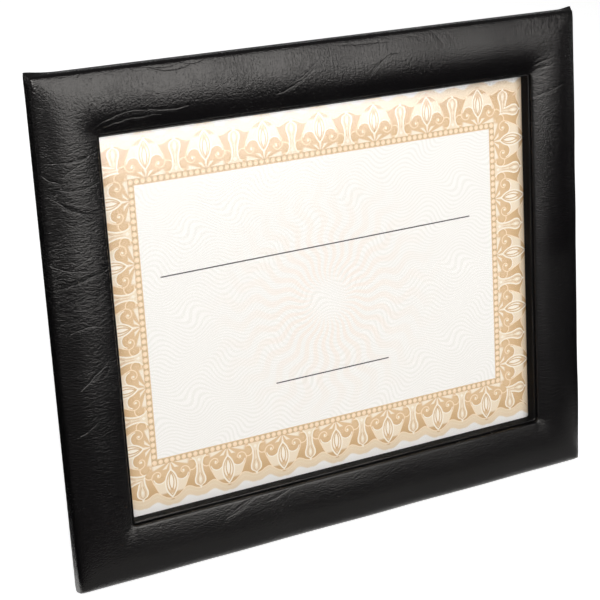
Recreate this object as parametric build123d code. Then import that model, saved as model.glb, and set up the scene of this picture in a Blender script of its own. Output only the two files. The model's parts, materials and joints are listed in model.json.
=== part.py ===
from build123d import *
import math
import os

# A padded leatherette certificate frame that stands on an easel leg. Millimetres and degrees.
# The frame is modelled upright, from the middle of its window: x to the right, y from the front
# to the back with y = 0 at the outer front edge, z up the frame. It is then tipped back by LEAN
# and set on the floor, with the origin under the middle of its bounding box.

# Certificate sheet
SHEET_WIDTH = 279.4
SHEET_HEIGHT = 215.9
SHEET = 0.2

# Padded front: window, rails and the pillow section of a rail
WINDOW_WIDTH = 254.0
WINDOW_HEIGHT = 202.0
RAIL_WIDTH = 32.6
EDGE = 5.2
PILLOW_RISE = 5.6
OUTER_ROLL = 3.0
LIP_ROLL = 1.6
LIP_RISE = 0.8
SKIN = 0.8
TURN_IN = 12.0
WINDOW_BOARD = 3.0
FOAM_CLEARANCE = 0.3

# Pocket behind the window
CLEAR_SHEET = 0.5
CARD = 0.9
SLIP = 0.1
SIDE_PLAY = 0.5
SEAT_GAP = 0.1
CLEAR_SHEET_GAP = 0.2
CARD_BELOW_MOUTH = 2.0

# Back board and its lining
BACK_INSET = 5.0
BACK_BOARD = 2.5
THUMB_RADIUS = 12.0
LINING = 0.4
LINING_INSET = 1.5

# Stance and easel leg
LEAN = 12.0
LEG_OPENING = 22.0
HINGE_HEIGHT = 75.0
LEG_TOP_WIDTH = 56.0
LEG_FOOT_WIDTH = 84.0
LEG_BOARD = 2.5
LEG_FACING = 0.4
FACING_TRIM = 1.0
LEG_CORNER = 4.0

# Butt hinge
HINGE_WIDTH = 44.0
HINGE_LEAF = 1.0
LEAF_LENGTH = 20.0
PIN_RADIUS = 1.0
PIN_SEAT = 0.02
PIN_RUNNING = 0.05
FIXED_KNUCKLE = 11.0
KNUCKLE_GAP = 0.3
KNUCKLE_CLEARANCE = 0.5
FOLDED_GAP = 0.4

# Ribbon stay
RIBBON_WIDTH = 10.0
RIBBON = 0.3
RIBBON_REACH = 150.0
RIBBON_TAB = 11.0
RIBBON_SEAT = 0.05

# Wall hangers
HANGER_SPREAD = 95.0
HANGER_HEIGHT = 100.0
STRAP = 0.8
STRAP_WIDTH = 9.0
STRAP_LENGTH = 15.0
RING_WIRE_RADIUS = 0.8
RING_PLAY = 0.2
RING_WIDTH = 18.0
RING_LENGTH = 17.0
RING_CORNER = 2.5

# Rivets: a shank in a hole, under a domed or a flat head
RIVET_SHANK = 1.2
RIVET_SEAT = 0.03
RIVET_HEAD = 2.4
RIVET_DOME = 0.8
FLAT_HEAD = 0.35
HINGE_RIVET_SPREAD = 14.0
HINGE_RIVET_REACH = 12.0
STRAP_RIVET_REACH = 9.0

# Outlines and layers worked out from the sizes above
OUTER_WIDTH = WINDOW_WIDTH + 2 * RAIL_WIDTH
OUTER_HEIGHT = WINDOW_HEIGHT + 2 * RAIL_WIDTH
BACK_WIDTH = OUTER_WIDTH - 2 * BACK_INSET
BACK_HEIGHT = OUTER_HEIGHT - 2 * BACK_INSET
BOARD_BACK = EDGE - SKIN
BOARD_FRONT = BOARD_BACK - WINDOW_BOARD
SHEET_FRONT = EDGE + CLEAR_SHEET + SLIP
CARD_FRONT = SHEET_FRONT + SHEET
BACK_FRONT = CARD_FRONT + CARD + SLIP
LINING_FRONT = BACK_FRONT + BACK_BOARD
LINING_BACK = LINING_FRONT + LINING
POCKET_WIDTH = SHEET_WIDTH + 2 * SIDE_PLAY
POCKET_FLOOR = -SHEET_HEIGHT / 2 - SEAT_GAP

KNUCKLE_RADIUS = PIN_RADIUS + PIN_RUNNING + HINGE_LEAF
HINGE_Y = LINING_BACK + KNUCKLE_RADIUS
LEG_KNUCKLE = HINGE_WIDTH - 2 * (FIXED_KNUCKLE + KNUCKLE_GAP)
LEG_LEAF_FRONT = FOLDED_GAP - KNUCKLE_RADIUS
LEG_INNER = LEG_LEAF_FRONT + HINGE_LEAF
LEG_BOARD_FRONT = LEG_INNER + LEG_FACING
LEG_BOARD_BACK = LEG_BOARD_FRONT + LEG_BOARD
LEG_OUTER = LEG_BOARD_BACK + LEG_FACING
LEG_TOP = -(KNUCKLE_RADIUS + KNUCKLE_CLEARANCE)

RIBBON_BOARD_END = HINGE_HEIGHT - RIBBON_REACH
RIBBON_BOARD_RIVET = RIBBON_BOARD_END + RIBBON_TAB / 2
RIBBON_LEG_RIVET = -RIBBON_REACH - RIBBON_TAB / 2

LOOP_INNER = RING_WIRE_RADIUS + RING_PLAY
LOOP_OUTER = LOOP_INNER + STRAP
RING_Y = LINING_BACK + LOOP_OUTER

# The open leg meets the floor, which slopes by LEAN as seen from the frame
FLOOR_SLOPE = math.tan(math.radians(LEAN))
OPEN = math.radians(LEG_OPENING)
HINGE_RISE = HINGE_HEIGHT + OUTER_HEIGHT / 2 - (HINGE_Y - EDGE) * FLOOR_SLOPE
LEG_LENGTH = HINGE_RISE / (math.cos(OPEN) + math.sin(OPEN) * FLOOR_SLOPE)
LEG_PLACE = Pos(0, HINGE_Y, HINGE_HEIGHT) * Rot(LEG_OPENING, 0, 0)

# The frame stands on the back edge of its bottom rail
TIPPED = math.radians(LEAN)
LIFT = EDGE * math.sin(TIPPED) + OUTER_HEIGHT / 2 * math.cos(TIPPED)
STANCE = Pos(0, 0, LIFT) * Rot(-LEAN, 0, 0)


def block(x0, x1, y0, y1, z0, z1):
    """A box between two corners."""
    return Pos(x0, y0, z0) * Box(x1 - x0, y1 - y0, z1 - z0, align=(Align.MIN, Align.MIN, Align.MIN))


def panel(width, height, y0, y1):
    """A flat sheet around the middle of the window, between two depths."""
    return block(-width / 2, width / 2, y0, y1, -height / 2, height / 2)


def rod(radius, x0, x1):
    """A round bar along x, on the x axis."""
    return Pos((x0 + x1) / 2, 0, 0) * Rot(0, 90, 0) * Cylinder(radius, x1 - x0)


def drill(radius, x, z, y0, y1):
    """A round bar along y, for a hole or a shank."""
    return Pos(x, (y0 + y1) / 2, z) * Rot(90, 0, 0) * Cylinder(radius, y1 - y0)


def hole(x, z):
    """The hole for a rivet at x and z, through every layer there."""
    return drill(RIVET_SHANK + RIVET_SEAT, x, z, -OUTER_HEIGHT, OUTER_HEIGHT)


def flat_head(x, z, y0, y1):
    """A flat rivet head between two depths."""
    return drill(RIVET_HEAD, x, z, y0, y1)


def domed_head(x, z, y):
    """A domed rivet head that stands on depth y and points to the back."""
    ball = (RIVET_HEAD**2 + RIVET_DOME**2) / (2 * RIVET_DOME)
    cap = Pos(x, y + RIVET_DOME - ball, z) * Sphere(ball)
    return cap & drill(RIVET_HEAD, x, z, y, y + RIVET_DOME)


def around(centre, radius, towards):
    """The point of a circle that lies towards another point."""
    away = math.hypot(towards[0] - centre[0], towards[1] - centre[1])
    return tuple(c + radius * (t - c) / away for c, t in zip(centre, towards))


def between(centre, radius, start, end):
    """The middle of an arc of a circle from start to end, the short way round."""
    middle = tuple((a + b) / 2 for a, b in zip(start, end))
    return around(centre, radius, middle)


def pillow_line(inset, back):
    """A rail's skin line, inset from its outer face, as edges in (depth, distance from the outer edge).

    A wall rises from the back to the outer roll, two arcs meet at the crown in the middle of the
    rail, and the lip's roll leads down the wall of the window.
    """
    crown = RAIL_WIDTH / 2
    fall = PILLOW_RISE - LIP_RISE
    outer_run = crown - OUTER_ROLL
    inner_run = RAIL_WIDTH - crown - LIP_ROLL
    outer_radius = (outer_run**2 / (PILLOW_RISE - OUTER_ROLL) + OUTER_ROLL + PILLOW_RISE) / 2
    inner_radius = (inner_run**2 / (fall - LIP_ROLL) + LIP_ROLL + fall) / 2
    roll_centre = (0, OUTER_ROLL)
    outer_centre = (outer_radius - PILLOW_RISE, crown)
    inner_centre = (inner_radius - PILLOW_RISE, crown)
    lip_centre = (-LIP_RISE, RAIL_WIDTH - LIP_ROLL)

    wall_foot = (back, inset)
    wall_top = (0, inset)
    roll_end = around(outer_centre, outer_radius - inset, roll_centre)
    top = (inset - PILLOW_RISE, crown)
    lip_start = around(inner_centre, inner_radius - inset, lip_centre)
    lip_end = (-LIP_RISE, RAIL_WIDTH - inset)
    lip_foot = (back, RAIL_WIDTH - inset)

    return [
        Line(wall_foot, wall_top),
        ThreePointArc(wall_top, between(roll_centre, OUTER_ROLL - inset, wall_top, roll_end), roll_end),
        ThreePointArc(roll_end, between(outer_centre, outer_radius - inset, roll_end, top), top),
        ThreePointArc(top, between(inner_centre, inner_radius - inset, top, lip_start), lip_start),
        ThreePointArc(lip_start, between(lip_centre, LIP_ROLL - inset, lip_start, lip_end), lip_end),
        Line(lip_end, lip_foot),
    ]


def mitred_rail(section, length):
    """A rail along x, from its outer edge at z = 0 inwards, with its ends cut at 45 degrees."""
    half = length / 2
    rail = extrude(Plane(origin=(-half, 0, 0), x_dir=(0, 1, 0), z_dir=(1, 0, 0)) * section, length)
    corners = [(-half, 0), (half, 0), (half - RAIL_WIDTH, RAIL_WIDTH), (RAIL_WIDTH - half, RAIL_WIDTH)]
    wedge = extrude(Plane.XZ * make_face(Polyline(*corners, close=True)), RAIL_WIDTH, both=True)
    return rail & wedge


def rail_ring(edges):
    """Carries a rail's section round the window, with mitred corners, as one solid."""
    section = make_face(edges)
    across = mitred_rail(section, OUTER_WIDTH)
    upright = mitred_rail(section, OUTER_HEIGHT)
    bottom = Pos(0, 0, -OUTER_HEIGHT / 2) * across
    top = Pos(0, 0, OUTER_HEIGHT / 2) * Rot(0, 180, 0) * across
    left = Pos(-OUTER_WIDTH / 2, 0, 0) * Rot(0, 90, 0) * upright
    right = Pos(OUTER_WIDTH / 2, 0, 0) * Rot(0, -90, 0) * upright
    return bottom + [left, right, top]


def leatherette_cover():
    """The skin, wrapped round the padded board and turned in behind it on both edges."""
    outer = pillow_line(0, EDGE)
    inner = pillow_line(SKIN, BOARD_BACK)
    turn_ins = [
        Polyline((EDGE, 0), (EDGE, TURN_IN), (BOARD_BACK, TURN_IN), (BOARD_BACK, SKIN)),
        Polyline(
            (EDGE, RAIL_WIDTH),
            (EDGE, RAIL_WIDTH - TURN_IN),
            (BOARD_BACK, RAIL_WIDTH - TURN_IN),
            (BOARD_BACK, RAIL_WIDTH - SKIN),
        ),
    ]
    return rail_ring(outer + inner + turn_ins)


def foam_pad():
    """The padding between the window board and the skin."""
    inset = SKIN + FOAM_CLEARANCE
    base = Line((BOARD_FRONT, inset), (BOARD_FRONT, RAIL_WIDTH - inset))
    return rail_ring(pillow_line(inset, BOARD_FRONT) + [base])


def window_board():
    board = panel(OUTER_WIDTH - 2 * SKIN, OUTER_HEIGHT - 2 * SKIN, BOARD_FRONT, BOARD_BACK)
    return board - panel(WINDOW_WIDTH + 2 * SKIN, WINDOW_HEIGHT + 2 * SKIN, -EDGE, 2 * EDGE)


def clear_sheet():
    half = POCKET_WIDTH / 2 - CLEAR_SHEET_GAP
    foot = POCKET_FLOOR + CLEAR_SHEET_GAP
    return block(-half, half, EDGE, EDGE + CLEAR_SHEET, foot, SHEET_HEIGHT / 2)


def side_spacer(side):
    edges = sorted((side * POCKET_WIDTH / 2, side * BACK_WIDTH / 2))
    return block(*edges, EDGE, BACK_FRONT, -BACK_HEIGHT / 2, BACK_HEIGHT / 2)


def bottom_spacer():
    return block(-POCKET_WIDTH / 2, POCKET_WIDTH / 2, EDGE, BACK_FRONT, -BACK_HEIGHT / 2, POCKET_FLOOR)


def back_holes():
    """The rivet holes through the back board and its lining."""
    holes = [hole(x, HINGE_HEIGHT + HINGE_RIVET_REACH) for x in (-HINGE_RIVET_SPREAD, HINGE_RIVET_SPREAD)]
    holes += [hole(x, HANGER_HEIGHT - STRAP_RIVET_REACH) for x in (-HANGER_SPREAD, HANGER_SPREAD)]
    holes.append(hole(0, RIBBON_BOARD_RIVET))
    return holes


def back_panel(inset, y0, y1):
    """A sheet of the back with its thumb notch and rivet holes."""
    sheet = panel(BACK_WIDTH - 2 * inset, BACK_HEIGHT - 2 * inset, y0, y1)
    sheet -= drill(THUMB_RADIUS + inset, 0, BACK_HEIGHT / 2, -OUTER_HEIGHT, OUTER_HEIGHT)
    return sheet - back_holes()


def certificate():
    return panel(SHEET_WIDTH, SHEET_HEIGHT, SHEET_FRONT, CARD_FRONT)


def backing_card():
    half = SHEET_WIDTH / 2
    top = BACK_HEIGHT / 2 - CARD_BELOW_MOUTH
    return block(-half, half, CARD_FRONT, CARD_FRONT + CARD, -SHEET_HEIGHT / 2, top)


# The hinge and the leg are modelled from the hinge's axis, with the leg folded flat.
def hinge_fixed_leaf():
    half = HINGE_WIDTH / 2
    middle = half - FIXED_KNUCKLE
    relief = KNUCKLE_RADIUS + KNUCKLE_CLEARANCE
    leaf = block(-half, half, -KNUCKLE_RADIUS, HINGE_LEAF - KNUCKLE_RADIUS, 0, LEAF_LENGTH)
    leaf -= block(-middle, middle, -KNUCKLE_RADIUS, KNUCKLE_RADIUS, 0, relief)
    leaf += rod(KNUCKLE_RADIUS, -half, -middle)
    leaf += rod(KNUCKLE_RADIUS, middle, half)
    leaf -= rod(PIN_RADIUS + PIN_SEAT, -half, half)
    return leaf - [hole(x, HINGE_RIVET_REACH) for x in (-HINGE_RIVET_SPREAD, HINGE_RIVET_SPREAD)]


def hinge_leg_leaf():
    half = HINGE_WIDTH / 2
    middle = LEG_KNUCKLE / 2
    relief = KNUCKLE_RADIUS + KNUCKLE_CLEARANCE
    leaf = block(-half, half, LEG_LEAF_FRONT, LEG_INNER, -LEAF_LENGTH, -relief)
    leaf += block(-middle, middle, LEG_LEAF_FRONT, LEG_INNER, -relief, 0)
    leaf += rod(KNUCKLE_RADIUS, -middle, middle)
    leaf -= rod(PIN_RADIUS + PIN_RUNNING, -half, half)
    return leaf - [hole(x, -HINGE_RIVET_REACH) for x in (-HINGE_RIVET_SPREAD, HINGE_RIVET_SPREAD)]


def hinge_pin():
    return rod(PIN_RADIUS, -HINGE_WIDTH / 2, HINGE_WIDTH / 2)


def leg_layer(y0, y1):
    """A layer of the leg: a board that widens to its foot, longer than the leg until the floor trims it."""
    spare = LEG_FOOT_WIDTH / 2
    run = LEG_LENGTH + LEG_TOP
    spread = (LEG_FOOT_WIDTH - LEG_TOP_WIDTH) / 2 * (run + spare) / run
    foot = LEG_TOP - run - spare
    top_half = LEG_TOP_WIDTH / 2
    foot_half = top_half + spread
    corners = [(-top_half, LEG_TOP), (top_half, LEG_TOP), (foot_half, foot), (-foot_half, foot)]
    outline = make_face(Polyline(*corners, close=True))
    outline = fillet(outline.vertices().group_by(Axis.Y)[-1], LEG_CORNER)
    layer = extrude(Plane(origin=(0, y1, 0), x_dir=(1, 0, 0), z_dir=(0, -1, 0)) * outline, y1 - y0)
    holes = [hole(x, -HINGE_RIVET_REACH) for x in (-HINGE_RIVET_SPREAD, HINGE_RIVET_SPREAD)]
    return layer - holes - hole(0, RIBBON_LEG_RIVET)


def hinge_fixed_rivets():
    rivets = []
    for x in (-HINGE_RIVET_SPREAD, HINGE_RIVET_SPREAD):
        z = HINGE_HEIGHT + HINGE_RIVET_REACH
        face = LINING_BACK + HINGE_LEAF
        rivets.append(drill(RIVET_SHANK, x, z, BACK_FRONT, face) + domed_head(x, z, face))
    return rivets


def hinge_leg_rivets():
    rivets = []
    for x in (-HINGE_RIVET_SPREAD, HINGE_RIVET_SPREAD):
        z = -HINGE_RIVET_REACH
        rivets.append(drill(RIVET_SHANK, x, z, LEG_LEAF_FRONT, LEG_OUTER) + domed_head(x, z, LEG_OUTER))
    return rivets


def ribbon_board_rivet():
    face = LINING_BACK + RIBBON
    shank = drill(RIVET_SHANK, 0, RIBBON_BOARD_RIVET, BACK_FRONT, face)
    return shank + flat_head(0, RIBBON_BOARD_RIVET, face, face + FLAT_HEAD)


def ribbon_leg_rivet():
    face = LEG_INNER - RIBBON_SEAT - RIBBON
    shank = drill(RIVET_SHANK, 0, RIBBON_LEG_RIVET, face, LEG_OUTER)
    rivet = shank + flat_head(0, RIBBON_LEG_RIVET, face - FLAT_HEAD, face)
    return rivet + domed_head(0, RIBBON_LEG_RIVET, LEG_OUTER)


def open_leg_point(y, z):
    """A point of the folded leg, from the hinge's axis, carried to the open leg."""
    return (
        HINGE_Y + y * math.cos(OPEN) - z * math.sin(OPEN),
        HINGE_HEIGHT + y * math.sin(OPEN) + z * math.cos(OPEN),
    )


def beside(points, gap):
    """The line that runs a gap to the left of a line through points, with mitred corners."""
    runs = [Vector(*b) - Vector(*a) for a, b in zip(points, points[1:])]
    normals = [Vector(-run.Y, run.X).normalized() for run in runs]
    line = [Vector(*points[0]) + normals[0] * gap]
    for point, before, after in zip(points[1:-1], normals, normals[1:]):
        line.append(Vector(*point) + (before + after) * (gap / (1 + before.dot(after))))
    line.append(Vector(*points[-1]) + normals[-1] * gap)
    return line


def ribbon_stay():
    """The taut ribbon: a tab on the lining, a straight span and a tab on the leg."""
    leg_tab = LEG_INNER - RIBBON_SEAT - RIBBON
    face = [
        (LINING_BACK, RIBBON_BOARD_END + RIBBON_TAB),
        (LINING_BACK, RIBBON_BOARD_END),
        open_leg_point(leg_tab, -RIBBON_REACH),
        open_leg_point(leg_tab, -RIBBON_REACH - RIBBON_TAB),
    ]
    strip = make_face(Polyline(*face, *reversed(beside(face, RIBBON)), close=True))
    side = Plane(origin=(-RIBBON_WIDTH / 2, 0, 0), x_dir=(0, 1, 0), z_dir=(1, 0, 0))
    ribbon = extrude(side * strip, RIBBON_WIDTH)
    eyelet = RIVET_SHANK + RIVET_SEAT
    ribbon -= drill(eyelet, 0, RIBBON_BOARD_RIVET, BACK_FRONT, LINING_BACK + 2 * RIBBON)
    return ribbon - LEG_PLACE * drill(eyelet, 0, RIBBON_LEG_RIVET, leg_tab - RIBBON, LEG_OUTER)


def hanger_strap(side):
    x = side * HANGER_SPREAD
    half = STRAP_WIDTH / 2
    strap = block(-half, half, -LOOP_OUTER, STRAP - LOOP_OUTER, -STRAP_LENGTH, 0)
    strap += rod(LOOP_OUTER, -half, half)
    strap -= rod(LOOP_INNER, -half, half)
    strap -= hole(0, -STRAP_RIVET_REACH)
    return Pos(x, RING_Y, HANGER_HEIGHT) * strap


def hanger_rivets():
    rivets = []
    for x in (-HANGER_SPREAD, HANGER_SPREAD):
        z = HANGER_HEIGHT - STRAP_RIVET_REACH
        face = LINING_BACK + STRAP
        rivets.append(drill(RIVET_SHANK, x, z, BACK_FRONT, face) + domed_head(x, z, face))
    return rivets


def hanger_ring(side):
    """A D-shaped wire ring through the strap's loop, hanging straight down when the frame leans."""
    half = RING_WIDTH / 2
    shoulder = half - RING_CORNER
    bow = RING_LENGTH - half
    turn = RING_CORNER * (1 - math.sqrt(0.5))
    path = Wire(
        [
            Line((0, 0, 0), (shoulder, 0, 0)),
            ThreePointArc((shoulder, 0, 0), (half - turn, 0, -turn), (half, 0, -RING_CORNER)),
            Line((half, 0, -RING_CORNER), (half, 0, -bow)),
            ThreePointArc((half, 0, -bow), (0, 0, -RING_LENGTH), (-half, 0, -bow)),
            Line((-half, 0, -bow), (-half, 0, -RING_CORNER)),
            ThreePointArc((-half, 0, -RING_CORNER), (turn - half, 0, -turn), (-shoulder, 0, 0)),
            Line((-shoulder, 0, 0), (0, 0, 0)),
        ]
    )
    ring = sweep(Plane.YZ * Circle(RING_WIRE_RADIUS), path=path)
    return Pos(side * HANGER_SPREAD, RING_Y, HANGER_HEIGHT) * Rot(LEAN, 0, 0) * ring


def below(level):
    """Everything under a height above the floor."""
    reach = 2 * OUTER_HEIGHT
    return block(-OUTER_WIDTH, OUTER_WIDTH, -reach, reach, -reach, level)


def standing_pieces():
    """Every piece of the leaning frame with its leg open, by its name."""
    axis = Pos(0, HINGE_Y, HINGE_HEIGHT)
    pieces = {
        "leatherette_cover": leatherette_cover(),
        "foam_pad": foam_pad(),
        "window_board": window_board(),
        "clear_sheet": clear_sheet(),
        "certificate": certificate(),
        "backing_card": backing_card(),
        "spacer_left": side_spacer(-1),
        "spacer_right": side_spacer(1),
        "spacer_bottom": bottom_spacer(),
        "back_board": back_panel(0, BACK_FRONT, LINING_FRONT),
        "back_lining": back_panel(LINING_INSET, LINING_FRONT, LINING_BACK),
        "hinge_fixed_leaf": axis * hinge_fixed_leaf(),
        "hinge_pin": axis * hinge_pin(),
        "hinge_fixed_rivets": Compound(hinge_fixed_rivets()),
        "hinge_leg_leaf": LEG_PLACE * hinge_leg_leaf(),
        "hinge_leg_rivets": LEG_PLACE * Compound(hinge_leg_rivets()),
        "leg_board": LEG_PLACE * leg_layer(LEG_BOARD_FRONT, LEG_BOARD_BACK),
        "leg_inner_facing": LEG_PLACE * leg_layer(LEG_INNER, LEG_BOARD_FRONT),
        "leg_outer_facing": LEG_PLACE * leg_layer(LEG_BOARD_BACK, LEG_OUTER),
        "ribbon_stay": ribbon_stay(),
        "ribbon_board_rivet": ribbon_board_rivet(),
        "ribbon_leg_rivet": LEG_PLACE * ribbon_leg_rivet(),
        "hanger_strap_left": hanger_strap(-1),
        "hanger_strap_right": hanger_strap(1),
        "hanger_rivets": Compound(hanger_rivets()),
        "hanger_ring_left": hanger_ring(-1),
        "hanger_ring_right": hanger_ring(1),
    }
    standing = {name: STANCE * piece for name, piece in pieces.items()}
    standing["leg_board"] -= below(0)
    for facing in ("leg_inner_facing", "leg_outer_facing"):
        standing[facing] -= below(FACING_TRIM)
    return standing


STANDING = standing_pieces()
BOXES = [piece.bounding_box() for piece in STANDING.values()]
MIDDLE = (min(box.min.Y for box in BOXES) + max(box.max.Y for box in BOXES)) / 2

os.makedirs("parts", exist_ok=True)
for name, piece in STANDING.items():
    export_step(Pos(0, -MIDDLE, 0) * piece, f"parts/{name}.step")
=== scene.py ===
import json
import math
import random
from functools import partialmethod

import bpy
import numpy as np
from bpy.props import FloatProperty, FloatVectorProperty, PointerProperty
from bpy.types import Operator, Panel, PropertyGroup
from mathutils import Matrix, Vector, noise


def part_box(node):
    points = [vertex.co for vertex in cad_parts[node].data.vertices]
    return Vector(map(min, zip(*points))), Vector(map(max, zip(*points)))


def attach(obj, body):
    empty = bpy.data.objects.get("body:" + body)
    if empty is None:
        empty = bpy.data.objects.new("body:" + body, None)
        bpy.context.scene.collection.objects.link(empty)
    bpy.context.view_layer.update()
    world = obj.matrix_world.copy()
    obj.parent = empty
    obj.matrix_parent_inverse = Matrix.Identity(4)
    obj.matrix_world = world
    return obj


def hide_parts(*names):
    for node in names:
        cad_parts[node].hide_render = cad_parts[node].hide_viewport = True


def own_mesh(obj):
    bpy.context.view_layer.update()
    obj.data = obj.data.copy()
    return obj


bl_info = {
    "name": "Padded certificate frame",
    "version": (1, 0, 0),
    "blender": (4, 5, 0),
    "location": "3D View > Sidebar > Certificate Frame",
    "description": "Dresses a padded leatherette certificate frame that stands on an easel leg",
    "category": "Object",
}

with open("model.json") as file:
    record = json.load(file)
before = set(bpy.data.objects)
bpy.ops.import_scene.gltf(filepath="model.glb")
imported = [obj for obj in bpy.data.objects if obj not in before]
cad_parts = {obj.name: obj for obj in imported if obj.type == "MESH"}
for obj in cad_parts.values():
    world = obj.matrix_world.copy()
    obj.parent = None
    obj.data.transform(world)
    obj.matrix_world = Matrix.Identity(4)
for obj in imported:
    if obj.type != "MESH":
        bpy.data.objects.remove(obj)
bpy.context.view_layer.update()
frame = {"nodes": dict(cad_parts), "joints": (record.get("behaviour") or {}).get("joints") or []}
NODES = frame["nodes"]
JOINTS = {joint["name"]: joint for joint in frame["joints"]}
MM = 0.001

# The frame leans back. Upright coordinates start at the middle of the certificate, which slides
# up along the frame: x to the right, y to the back and z up the frame.
UP = Vector(JOINTS["insert_slide"]["axis"])
LEAN = math.atan2(UP.y, UP.z)
SHEET_MIDDLE = sum(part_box("certificate"), Vector()) / 2
STANDING = Matrix.Translation(SHEET_MIDDLE) @ Matrix.Rotation(-LEAN, 4, "X")
UPRIGHT = STANDING.inverted()


def upright_points(node):
    """A CAD node's points in upright coordinates, one row each."""
    return np.array([UPRIGHT @ vertex.co for vertex in NODES[node].data.vertices])


# The rails' outlines, read from the skin's CAD node
COVER_POINTS = upright_points("leatherette_cover")
OUTER_WIDTH = float(np.ptp(COVER_POINTS[:, 0]))
OUTER_HEIGHT = float(np.ptp(COVER_POINTS[:, 2]))
WINDOW_WIDTH = float(2 * abs(COVER_POINTS[:, 0]).min())
WINDOW_HEIGHT = float(2 * abs(COVER_POINTS[:, 2]).min())
COVER_FRONT = float(COVER_POINTS[:, 1].min())
COVER_BACK = float(COVER_POINTS[:, 1].max())
RAIL_WIDTH = (OUTER_WIDTH - WINDOW_WIDTH) / 2
LINING_BACK = float(upright_points("back_lining")[:, 1].max())


def linear(red, green, blue):
    """A screen's sRGB colour, 0 to 255, as the linear values that shaders take."""
    shares = [level / 255 for level in (red, green, blue)]
    return tuple(s / 12.92 if s <= 0.04045 else ((s + 0.055) / 1.055) ** 2.4 for s in shares)


def length(name, description, millimetres):
    sizes = {"default": millimetres * MM, "unit": "LENGTH", "subtype": "DISTANCE"}
    return FloatProperty(name=name, description=description, min=0, **sizes)


def share(name, description, default):
    return FloatProperty(name=name, description=description, default=default, min=0, max=1, subtype="FACTOR")


def power(name, description, watts):
    return FloatProperty(name=name, description=description, default=watts, min=0, unit="POWER")


def colour(name, place, *levels):
    limits = {"size": 3, "min": 0, "max": 1, "subtype": "COLOR"}
    return FloatVectorProperty(name=name, description=f"Colour {place}", default=linear(*levels), **limits)


class RailSettings(PropertyGroup):
    """The padded leatherette rails."""

    edge: length("Edge", "Depth of the rails' outer wall", 5.2)
    outer_roll: length("Outer roll", "Radius of the roll along the outer edge", 3.0)
    lip_roll: length("Lip roll", "Radius of the padding's roll along the window", 1.4)
    lip_rise: length("Lip rise", "How far the padding's lip stands in front of the outer wall", 3.0)
    low_lip: length("Low lip", "How far the top rail's lip stands in front; the side rails lie between", 1.4)
    bead: length("Bead", "Radius of the bead along the window", 0.5)
    bead_rise: length("Bead rise", "How far the bead's middle stands in front of the outer wall", 1.3)
    groove: length("Groove", "Width of the groove between the bead and the padding", 0.4)
    groove_depth: length("Groove depth", "How far the groove sinks behind the bead's middle", 0.5)
    lip_left: length("Left lip", "How far the left rail's lip stands into the window", 0.7)
    lip_top: length("Top lip", "How far the top rail's lip stands into the window", 1.1)
    taper: length("Taper", "How far the outer wall draws in towards the front", 0.5)
    skin: length("Skin", "Thickness of the leatherette", 0.8)
    board: length("Board", "Thickness of the board under the padding", 3.0)
    turn_in: length("Turn-in", "Width of the leatherette folded behind the board", 12.0)
    window_corner: length("Window corner", "Radius of the window's corners", 1.2)
    ear: length("Ear", "How far the folded skin stands up at a corner", 1.5)
    crease: length("Crease", "Depth of a main crease", 0.25)
    pebble: length("Pebble", "Size of the embossed pebbles", 0.85)
    black: colour("Leatherette", "of the leatherette", 10, 9, 10)


class CertificateSettings(PropertyGroup):
    """The printed certificate behind its clear sheet."""

    field_width: length("Field width", "Width of the plain field inside the border", 213.0)
    field_height: length("Field height", "Height of the plain field inside the border", 145.3)
    paper: colour("Paper", "of the paper", 253, 250, 246)
    wave: colour("Waves", "of the faint waves in the field", 240, 238, 231)
    rosette: colour("Rosette", "of the faint rosette in the field", 249, 233, 219)
    ground: colour("Ground", "of the border's ground", 229, 198, 158)
    deep: colour("Deep ground", "of the ground in the border's hollows", 215, 180, 135)
    petal: colour("Petals", "of the border's petals", 246, 230, 206)
    line: colour("Lines", "of the border's bold lines", 255, 246, 231)
    outline: colour("Outlines", "of the border's fine outlines", 252, 231, 202)
    ribbon: colour("Ribbon", "of the wavy ribbon around the border", 241, 221, 192)
    bead: colour("Beads", "of the beads around the field", 250, 225, 193)
    bead_gap: colour("Bead gaps", "between the beads", 212, 185, 147)
    ink: colour("Ink", "of the ruled lines", 58, 54, 52)


class BackSettings(PropertyGroup):
    """The back, the pocket and the easel leg."""

    lining: colour("Lining", "of the embossed paper on the back", 43, 42, 43)
    board: colour("Board", "of the boards' cut edges", 150, 144, 135)
    card: colour("Card", "of the card behind the certificate", 226, 221, 209)
    grain: length("Grain", "Size of the lining's embossed grain", 1.1)


class RibbonSettings(PropertyGroup):
    """The ribbon that stops the easel leg."""

    width: length("Width", "Width of the ribbon", 10.0)
    thickness: length("Thickness", "Thickness of the ribbon", 0.3)
    tab: length("Tab", "Length of the ribbon's riveted ends", 11.0)
    reach: length("Reach", "Distance from the hinge to the ribbon's ends", 150.0)
    rib: length("Rib", "Pitch of the woven ribs", 0.8)
    black: colour("Ribbon", "of the ribbon", 30, 29, 31)


class MetalSettings(PropertyGroup):
    """The hinge, the rivets and the wall hangers."""

    steel: colour("Steel", "of the plated steel", 198, 195, 188)
    polish: share("Polish", "How smooth the plating is", 0.68)


class StageSettings(PropertyGroup):
    """Floor, light and camera."""

    floor: colour("Floor", "of the floor", 238, 238, 238)
    key: power("Key light", "Power of the tall softbox in front", 6.4)
    fill: power("Fill light", "Power of the softbox beside the camera", 9.6)
    rear: power("Rear light", "Power of the softbox behind", 9.0)


SETTINGS = {
    "certificate_rails": RailSettings,
    "certificate_print": CertificateSettings,
    "certificate_back": BackSettings,
    "certificate_ribbon": RibbonSettings,
    "certificate_metal": MetalSettings,
    "certificate_stage": StageSettings,
}


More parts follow.
